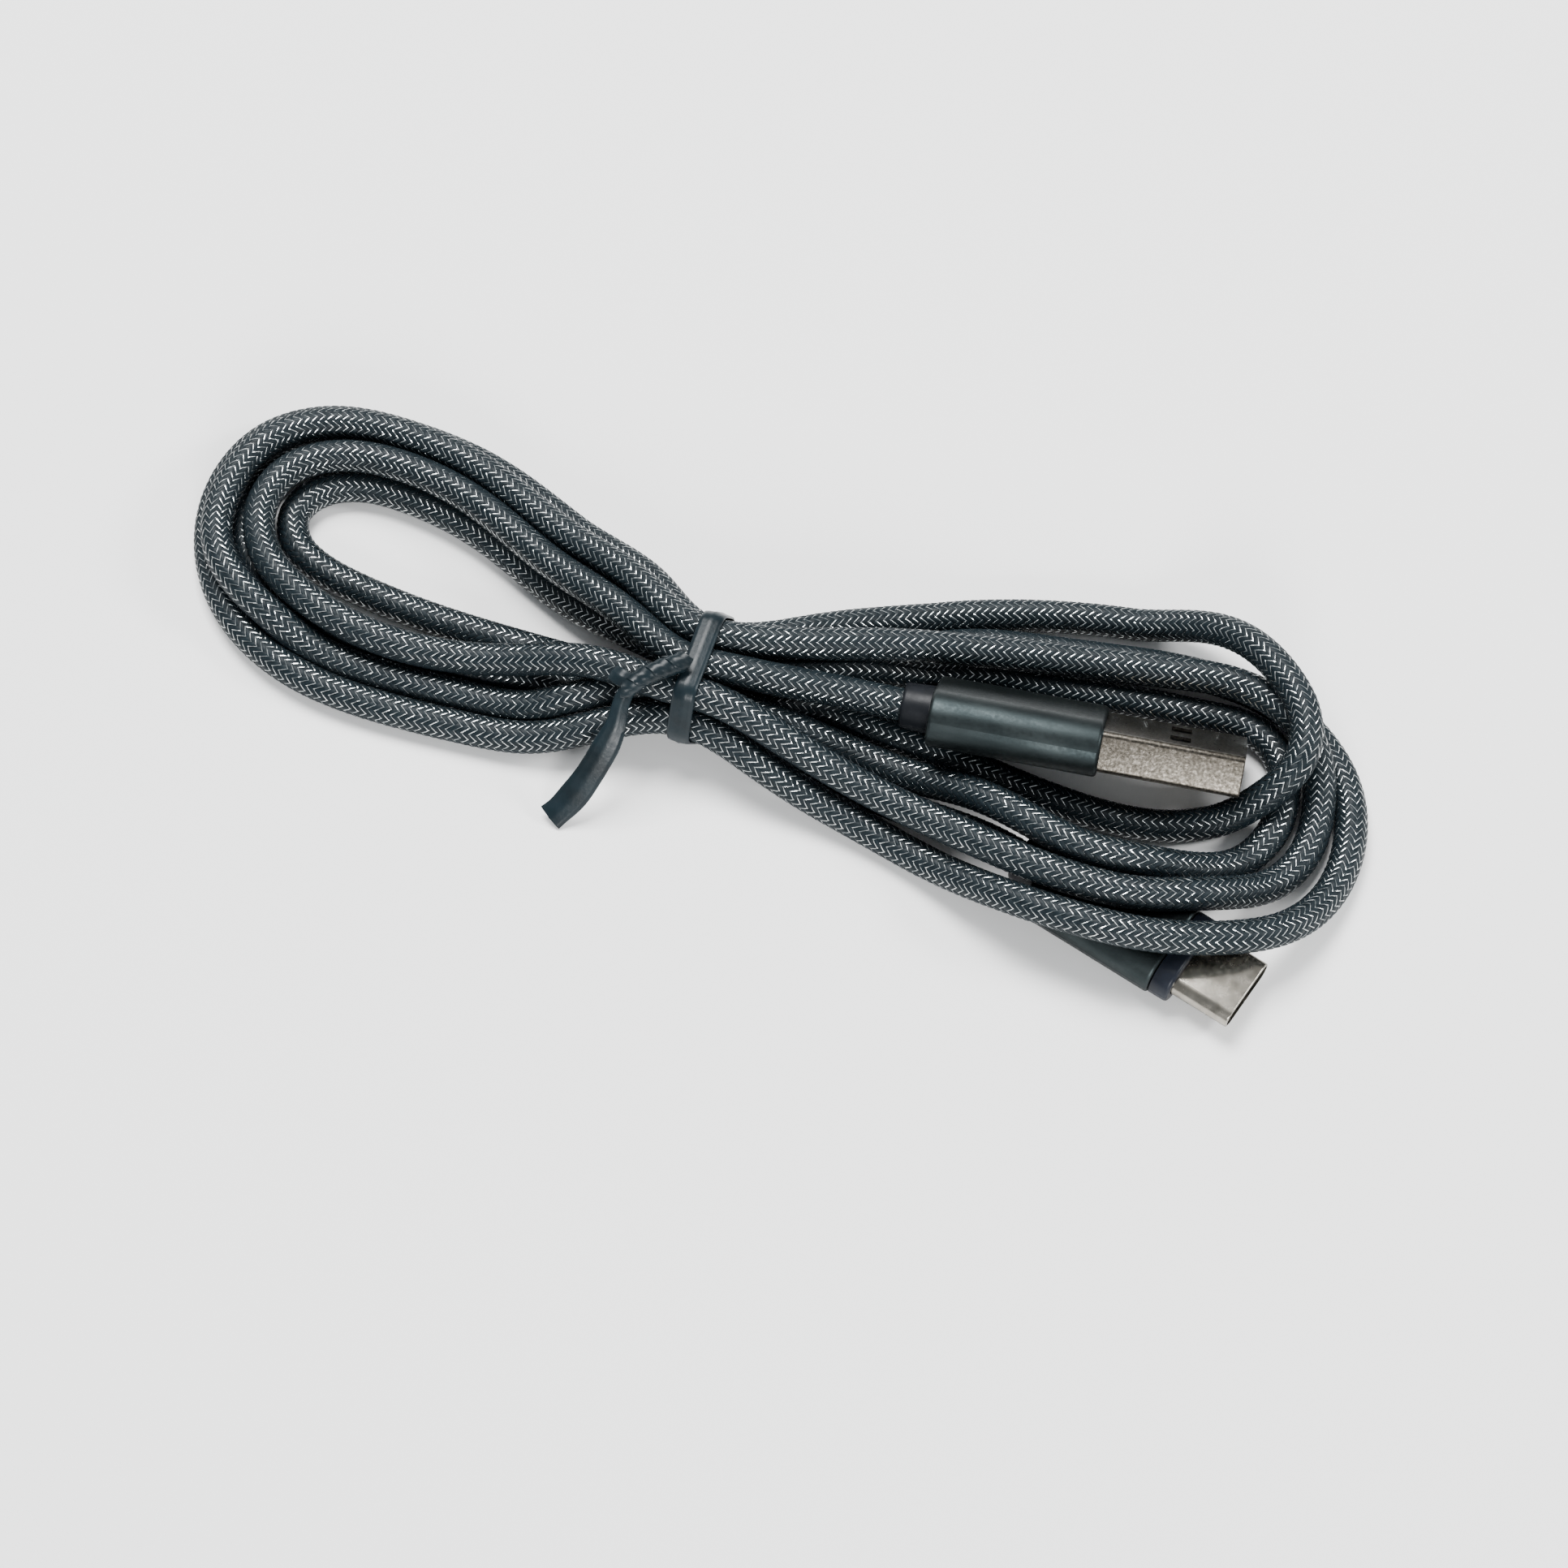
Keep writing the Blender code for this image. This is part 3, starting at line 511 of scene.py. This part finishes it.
def frames_along(line):
    """Directions ahead, to the side and up along a line, turning as little as can be."""
    ahead = np.gradient(line, axis=0)
    ahead /= np.linalg.norm(ahead, axis=1)[:, None]
    side = np.zeros_like(line)
    side[0] = np.cross(ahead[0], (0.0, 0.0, 1.0))
    side[0] /= np.linalg.norm(side[0])
    for i in range(1, len(line)):
        moved = side[i - 1] - ahead[i] * (side[i - 1] @ ahead[i])
        side[i] = moved / np.linalg.norm(moved)
    return ahead, side, np.cross(ahead, side)


def carrier_points(line, axes, way, chance):
    """Vertices (carrier, row, across, xyz) and UVs of the carriers that wind one way."""
    ahead, side, up = axes
    rows = np.arange(len(line))
    carriers = np.arange(CARRIERS)
    turn = math.pi * (2 * carriers[:, None] + way * rows[None]) / CARRIERS
    above = ((2 * carriers[:, None] + way * rows[None]) % 4 < 2) == (way > 0)
    radius = np.where(above, CROWN_RADIUS, UNDER_RADIUS)
    slope = math.atan(2 * math.pi * CROWN_RADIUS / BRAID_PITCH)
    step = BRAID_PITCH / (2 * CARRIERS)
    points, uvs = [], []
    for number, (across, height) in enumerate(zip(RIBBON_ACROSS, RIBBON_HEIGHT)):
        shift = -way * across * math.sin(slope)
        angle = turn + across * math.cos(slope) / CROWN_RADIUS
        reach = radius + height
        if number == len(RIBBON_ACROSS) - 1:
            reach = reach + chance.normal(0, FILAMENT_WANDER, radius.shape)
        centre = line + ahead * shift
        points.append(centre[None]
                      + (reach * np.cos(angle))[..., None] * side[None]
                      + (reach * np.sin(angle))[..., None] * up[None])
        along = np.broadcast_to(rows * step / math.cos(slope) / UV_UNIT, turn.shape)
        beside = across / UV_UNIT + 0.37 * carriers[:, None] + 0.11 * (way > 0)
        uvs.append(np.stack([along, np.broadcast_to(beside, turn.shape)], axis=-1))
    return np.stack(points, axis=2), np.stack(uvs, axis=2)


def make_braid():
    """The braid as woven carriers over a dark core, in one mesh, and its middle line.

    A face's kind is its material: 0 for yarn, 1 for filament and 2 for the core.
    """
    step = BRAID_PITCH / (2 * CARRIERS)
    line = evenly(smooth(route_points(), 24, CABLE_DIAMETER / 2), step)
    axes = frames_along(line)
    chance = np.random.default_rng(7)
    vertices, uvs, faces, kinds = [], [], [], []
    base = 0
    for way in (1, -1):
        points, uv = carrier_points(line, axes, way, chance)
        carriers, rows, across, _ = points.shape
        number = base + np.arange(carriers * rows * across).reshape(carriers, rows, across)
        quads = np.stack([number[:, :-1, :-1], number[:, :-1, 1:],
                          number[:, 1:, 1:], number[:, 1:, :-1]], axis=-1)
        faces.append(quads.reshape(-1, 4))
        kind = np.zeros(quads.shape[:3], dtype=int)
        kind[:, :, -1] = 1
        kinds.append(kind.reshape(-1))
        vertices.append(points.reshape(-1, 3))
        uvs.append(uv.reshape(-1, 2))
        base += carriers * rows * across

    core_line = evenly(line, CORE_ROW)
    _, side, up = frames_along(core_line)
    turn = 2 * math.pi * np.arange(CORE_SIDES) / CORE_SIDES
    core = (core_line[:, None] + CORE_RADIUS * (np.cos(turn)[None, :, None] * side[:, None]
                                                + np.sin(turn)[None, :, None] * up[:, None]))
    rows = len(core_line)
    number = base + np.arange(rows * CORE_SIDES).reshape(rows, CORE_SIDES)
    beyond = np.roll(number, -1, axis=1)
    quads = np.stack([number[:-1], beyond[:-1], beyond[1:], number[1:]], axis=-1)
    faces.append(quads.reshape(-1, 4))
    kinds.append(np.full(len(faces[-1]), 2))
    vertices.append(core.reshape(-1, 3))
    uvs.append(np.zeros((rows * CORE_SIDES, 2)))

    vertices = to_row(np.concatenate(vertices))
    faces = np.concatenate(faces)
    kinds = np.concatenate(kinds)
    uvs = np.concatenate(uvs)
    mesh = bpy.data.meshes.new("cable_braid_woven")
    mesh.vertices.add(len(vertices))
    mesh.vertices.foreach_set("co", vertices.ravel())
    mesh.loops.add(faces.size)
    mesh.loops.foreach_set("vertex_index", faces.ravel().astype(np.int32))
    mesh.polygons.add(len(faces))
    mesh.polygons.foreach_set("loop_start", np.arange(0, faces.size, 4, dtype=np.int32))
    mesh.polygons.foreach_set("material_index", kinds.astype(np.int32))
    mesh.update(calc_edges=True)
    mesh.polygons.foreach_set("use_smooth", kinds != 1)
    layer = mesh.uv_layers.new(name="along")
    layer.data.foreach_set("uv", uvs[faces.ravel()].ravel())
    core_mat = moulded_material("braid_core", (0.012, 0.012, 0.013), 0.7)
    for mat in (yarn_material(), filament_material(), core_mat):
        mesh.materials.append(mat)
    mesh.validate()
    obj = bpy.data.objects.new("cable_braid_woven", mesh)
    bpy.context.scene.collection.objects.link(obj)
    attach(obj, "root")
    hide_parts("cable_braid")
    return obj, line


# --------------------------------------------------------------------- plugs

def relief_piece(name, barrel_back, bore_size, length, mat, place, node):
    """The strain relief: a flange in the barrel and a tapered, bored tail."""
    end = barrel_back - length
    wide, high = RELIEF_END
    flange = (bore_size[0] - 2 * GAP, bore_size[1] - 2 * GAP, bore_size[2] - GAP)
    front = barrel_back + RELIEF_FLANGE_LENGTH
    outer = rounded(end, (wide, high, high / 2), RELIEF_EDGE, 1)
    outer += [(barrel_back - GAP, wide + RELIEF_FLARE[0], high + RELIEF_FLARE[1], high / 2),
              (barrel_back - GAP / 2, *flange), (front, *flange)]
    inner = [(end, BORE, BORE, BORE / 2), (front, BORE, BORE, BORE / 2)]
    return tube_piece(name, outer, inner, [mat], place, [node])


def barrel_piece(name, size, length, front, inner, mat, place, node):
    """A barrel with softly rounded ends."""
    back = front - length
    outer = rounded(back, size, BARREL_EDGE, 1, 5)
    outer += rounded(front, size, BARREL_EDGE, -1, 5)[::-1]
    return tube_piece(name, outer, inner, [mat], place, [node], sharp=50.0)


def cut_openings(obj, boxes, place):
    """Cut rectangular openings through a piece for good."""
    bm = bmesh.new()
    for low, high in boxes:
        box_faces(bm, low, high, place)
    bmesh.ops.recalc_face_normals(bm, faces=bm.faces[:])
    mesh = bpy.data.meshes.new("openings")
    bm.to_mesh(mesh)
    bm.free()
    cutter = bpy.data.objects.new("openings", mesh)
    bpy.context.scene.collection.objects.link(cutter)
    modifier = obj.modifiers.new("openings", "BOOLEAN")
    modifier.operation = "DIFFERENCE"
    modifier.solver = "EXACT"
    modifier.object = cutter
    bpy.context.view_layer.update()
    finished = bpy.data.meshes.new_from_object(
        obj.evaluated_get(bpy.context.evaluated_depsgraph_get()))
    obj.modifiers.clear()
    obj.data = finished
    bpy.data.objects.remove(cutter, do_unlink=True)
    finished.set_sharp_from_angle(angle=math.radians(40))


def make_usb_a(mats):
    """The USB-A plug's shell, barrel and strain relief."""
    place = plug_matrix(A_TIP, A_YAW, A_ROLL)
    width, height = A_SHELL
    barrel_front = -A_SHELL_EXPOSED
    barrel_back = barrel_front - A_BARREL_LENGTH
    shell_back = barrel_front - A_SHELL_SEAT
    inside = (width - 2 * A_SHELL_WALL, height - 2 * A_SHELL_WALL, A_SHELL_INNER_CORNER)
    outer = [(shell_back, width, height, A_SHELL_CORNER)]
    outer += rounded(0, (width, height, A_SHELL_CORNER), A_SHELL_EDGE, -1)[::-1]
    inner = [(shell_back, *inside), (0, *inside)]
    shell = tube_piece("usb_a_shell_plated", outer, inner, [mats["steel"]], place,
                       ["usb_a_shell"])
    window_length, window_width = A_WINDOW
    near, far = A_WINDOW_REACH
    boxes = []
    for y in A_WINDOW_SIDES:
        for low_z, high_z in ((-far, -near), (near, far)):
            boxes.append(((A_WINDOW_FRONT - window_length, y - window_width / 2, low_z),
                          (A_WINDOW_FRONT, y + window_width / 2, high_z)))
    cut_openings(shell, boxes, place)

    bore = (A_BARREL[0] - 2 * BARREL_WALL, A_BARREL[1] - 2 * BARREL_WALL,
            A_BARREL[1] / 2 - BARREL_WALL)
    mouth = (width + 2 * GAP, height + 2 * GAP, A_MOUTH_CORNER)
    mouth_back = barrel_front - A_MOUTH_DEPTH
    inner = [(barrel_back, *bore), (mouth_back - GAP, *bore),
             (mouth_back, *mouth), (barrel_front, *mouth)]
    barrel = barrel_piece("usb_a_barrel_anodised", (*A_BARREL, A_BARREL[1] / 2),
                          A_BARREL_LENGTH, barrel_front, inner, mats["barrel"], place,
                          "usb_a_barrel")
    relief = relief_piece("usb_a_relief_moulded", barrel_back, bore, A_RELIEF_LENGTH,
                          mats["black"], place, "usb_a_relief")


def make_usb_c(mats):
    """The USB-C plug's outer pieces and its contacts, as a list."""
    place = plug_matrix(C_TIP, C_YAW, C_ROLL)
    width, height = C_SHELL
    collar_front = -C_SHELL_EXPOSED
    barrel_front = collar_front - C_FRONT_COLLAR_LENGTH - GAP
    barrel_back = barrel_front - C_BARREL_LENGTH
    shell_back = barrel_front - C_SHELL_SEAT
    in_width = width - 2 * C_SHELL_WALL
    in_height = height - 2 * C_SHELL_WALL
    inside = (in_width, in_height, in_height / 2)
    outer = [(shell_back, width, height, height / 2)]
    outer += rounded(0, (width, height, height / 2), C_SHELL_EDGE, -1)[::-1]
    shell = tube_piece("usb_c_shell_plated", outer, [(shell_back, *inside), (0, *inside)],
                       [mats["bright"]], place, ["usb_c_shell"], sharp=50.0)

    collar_size = (C_BARREL[0] - 2 * C_COLLAR_STEP, C_BARREL[1] - 2 * C_COLLAR_STEP,
                   C_BARREL[1] / 2 - C_COLLAR_STEP)
    opening = (width + 2 * GAP, height + 2 * GAP, height / 2 + GAP)
    outer = [(barrel_front + GAP, *collar_size)]
    outer += rounded(collar_front, collar_size, C_COLLAR_EDGE, -1)[::-1]
    collar = tube_piece("usb_c_front_collar_moulded", outer,
                        [(barrel_front + GAP, *opening), (collar_front, *opening)],
                        [mats["collar"]], place, ["usb_c_front_collar"], sharp=50.0)

    bore = (C_BARREL[0] - 2 * BARREL_WALL, C_BARREL[1] - 2 * BARREL_WALL,
            C_BARREL[1] / 2 - BARREL_WALL)
    barrel = barrel_piece("usb_c_barrel_anodised", (*C_BARREL, C_BARREL[1] / 2),
                          C_BARREL_LENGTH, barrel_front,
                          [(barrel_back, *bore), (barrel_front, *bore)], mats["barrel"],
                          place, "usb_c_barrel")
    relief = relief_piece("usb_c_relief_moulded", barrel_back, bore, C_RELIEF_LENGTH,
                          mats["black"], place, "usb_c_relief")
    contacts = gather("usb_c_contacts_plated", mats["gold"], "usb_c_contact")
    return [shell, collar, barrel, relief, contacts]


def gather(name, mat, wanted):
    """One piece with the shapes of all the CAD nodes whose names begin as wanted."""
    bm = bmesh.new()
    nodes = [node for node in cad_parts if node.startswith(wanted)]
    for node in nodes:
        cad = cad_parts[node]
        first = len(bm.verts)
        bm.from_mesh(cad.data)
        bm.verts.ensure_lookup_table()
        for vertex in bm.verts[first:]:
            vertex.co = cad.matrix_world @ vertex.co
    piece = make_object(name, bm, [mat], 40.0, nodes)
    return piece


# ----------------------------------------------------------------- twist tie

def sweep(bm, points, outs, profile, widths):
    """A strip with a closed profile (across, out) along points in millimetres.

    outs are the ways its ridged side faces, and widths the parts of its width.
    """
    loops = []
    for i, point in enumerate(points):
        ahead = points[min(i + 1, len(points) - 1)] - points[max(i - 1, 0)]
        ahead = Vector(ahead).normalized()
        across = ahead.cross(Vector(outs[i])).normalized()
        out = across.cross(ahead)
        loops.append([bm.verts.new(to_row(Vector(point) + across * a * widths[i] + out * b))
                      for a, b in profile])
    for first, second in zip(loops, loops[1:]):
        join(bm, first, second)
    bm.faces.new(loops[0])
    bm.faces.new(loops[-1])


def wind(bm, path, phase):
    """One of the tie's two ends, wound round the other along a path."""
    ahead, side, up = frames_along(path)
    turn = phase + np.linspace(0, TIE_WOUND_TURNS * 2 * math.pi, len(path))
    outs = np.cos(turn)[:, None] * side + np.sin(turn)[:, None] * up
    sweep(bm, path + TIE_WOUND_RADIUS * outs, outs, TIE_PROFILE,
          TIE_WOUND_WIDTH + 0.08 * np.sin(3.0 * turn))


def make_tie(mat):
    """The twist tie: its band, its wound ends and the free tail."""
    places = [Vector((0, *TIE_SLOTS[name])) for name in TIE_HULL]
    rays = []
    for i, here in enumerate(places):
        before = here - places[i - 1]
        after = places[(i + 1) % len(places)] - here
        first = math.atan2(-before.y, before.z)
        last = math.atan2(-after.y, after.z)
        if last < first:
            last += 2 * math.pi
        for step in range(TIE_CORNER_STEPS + 1):
            turn = first + (last - first) * step / TIE_CORNER_STEPS
            rays.append((here, Vector((0, math.cos(turn), math.sin(turn)))))
    bm = bmesh.new()
    rings = []
    for number, (here, way) in enumerate(rays):
        lean = TIE_LEAN * math.sin(number * 2 * math.pi / len(rays))
        ring = []
        for across, out in TIE_PROFILE:
            spot = here + way * (BAND_REACH + out)
            ring.append(bm.verts.new(to_row((TIE_X + across + lean, spot.y, spot.z))))
        rings.append(ring)
    for i, ring in enumerate(rings):
        join(bm, ring, rings[(i + 1) % len(rings)])
    band = make_object("twist_tie_band_ribbed", bm, [mat], 50.0, ["twist_tie_band"])

    bm = bmesh.new()
    path = smooth(np.array(TIE_WOUND), 14)
    wind(bm, path, 0.3)
    wind(bm, path, 0.3 + math.pi)
    tail = smooth(np.array(TIE_TAIL), 6)
    widths = np.interp(np.linspace(0, 1, len(tail)), np.linspace(0, 1, len(TIE_TAIL_WIDTHS)),
                       TIE_TAIL_WIDTHS)
    widths += 0.05 * np.sin(0.45 * np.arange(len(tail)))
    lean = np.linspace(1.3, 0.5, len(tail))
    outs = np.stack([0.25 * lean, -lean, np.ones(len(tail))], axis=1)
    sweep(bm, tail, outs, TIE_PROFILE, widths)
    short = smooth(np.array(TIE_SHORT_END), 5)
    sweep(bm, short, [(0.2, -0.5, 1.0)] * len(short), TIE_PROFILE,
          [TIE_SHORT_WIDTH] * len(short))
    ends = make_object("twist_tie_ends_wound", bm, [mat], 50.0,
                       ["twist_tie_twist", "twist_tie_tail"])


# --------------------------------------------------------------------- scene

def make_camera():
    """The camera at the photograph's angle."""
    azimuth, elevation = math.radians(VIEW_AZIMUTH), math.radians(VIEW_ELEVATION)
    back = Vector((math.sin(azimuth) * math.cos(elevation),
                   -math.cos(azimuth) * math.cos(elevation), math.sin(elevation)))
    data = bpy.data.cameras.new("camera")
    data.lens = LENS
    data.sensor_width = SENSOR
    data.clip_start = 0.01
    camera = bpy.data.objects.new("camera", data)
    camera.location = Vector(to_row(VIEW_TARGET)) + back * VIEW_DISTANCE * MM
    camera.rotation_euler = back.to_track_quat("Z", "Y").to_euler()
    bpy.context.scene.collection.objects.link(camera)
    bpy.context.scene.camera = camera


def make_light(name, place, size, power):
    """A square softbox aimed at the hank, place and size in metres."""
    data = bpy.data.lights.new(name, "AREA")
    data.size = size
    data.energy = power
    light = bpy.data.objects.new(name, data)
    light.location = place
    light.rotation_euler = Vector(place).to_track_quat("Z", "Y").to_euler()
    bpy.context.scene.collection.objects.link(light)


def make_stage():
    """A pale floor, a soft sky and three softboxes."""
    bm = bmesh.new()
    bmesh.ops.create_grid(bm, x_segments=1, y_segments=1, size=3.0)
    mesh = bpy.data.meshes.new("floor")
    bm.to_mesh(mesh)
    bm.free()
    mesh.materials.append(new_material("floor_pale", (0.86, 0.86, 0.855), 0.8))
    floor = bpy.data.objects.new("floor", mesh)
    bpy.context.scene.collection.objects.link(floor)
    world = bpy.data.worlds.new("studio")
    bpy.context.scene.world = world
    world.use_nodes = True
    sky = world.node_tree.nodes["Background"]
    sky.inputs["Color"].default_value = (0.92, 0.96, 1.0, 1.0)
    sky.inputs["Strength"].default_value = 0.5
    for name, place, size, power in LIGHTS:
        make_light(name, place, size, power)


def finish_cad_nodes(mats):
    """Give the CAD nodes that no piece replaces their finishes."""
    finishes = (("usb_a_tongue", "black"), ("contact", "gold"), ("latch", "bright"),
                ("insulator", "black"), ("mould", "mould"), ("board", "board"),
                ("resistor", "black"), ("jacket_end", "jacket"), ("wire_red", "red"),
                ("wire_green", "green"), ("wire_pale", "pale"), ("wire_dark", "black"))
    for name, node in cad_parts.items():
        for part, key in finishes:
            if part in name:
                for slot in node.material_slots:
                    slot.material = mats[key]
                break


def main():
    """Build the camera, the cord, the plugs and the tie."""
    make_camera()
    make_stage()
    mats = {
        "barrel": gunmetal_material(),
        "steel": steel_material(),
        "bright": bright_steel_material(),
        "black": moulded_material("black_moulding", (0.006, 0.007, 0.009), 0.42,
                                  Specular_IOR_Level=0.16),
        "collar": moulded_material("navy_black_moulding", (0.006, 0.008, 0.013), 0.38,
                                   Specular_IOR_Level=0.16),
        "pale": moulded_material("wire_white", (0.7, 0.7, 0.67), 0.5),
        "mould": moulded_material("clear_grey_moulding", (0.42, 0.43, 0.42), 0.6),
        "board": moulded_material("board_green", (0.02, 0.15, 0.06), 0.4),
        "jacket": moulded_material("jacket_grey", (0.16, 0.16, 0.16), 0.6),
        "red": moulded_material("wire_red", (0.45, 0.02, 0.02), 0.45),
        "green": moulded_material("wire_green", (0.02, 0.28, 0.06), 0.45),
        "gold": gold_material(),
        "tie": moulded_material("tie_black_plastic", (0.0045, 0.0095, 0.0125), 0.34, 2500.0, 0.6,
                                Specular_IOR_Level=0.2),
    }
    finish_cad_nodes(mats)
    braid, line = make_braid()
    make_usb_a(mats)
    usb_c = make_usb_c(mats)
    make_tie(mats["tie"])
    line = to_row(line)


main()
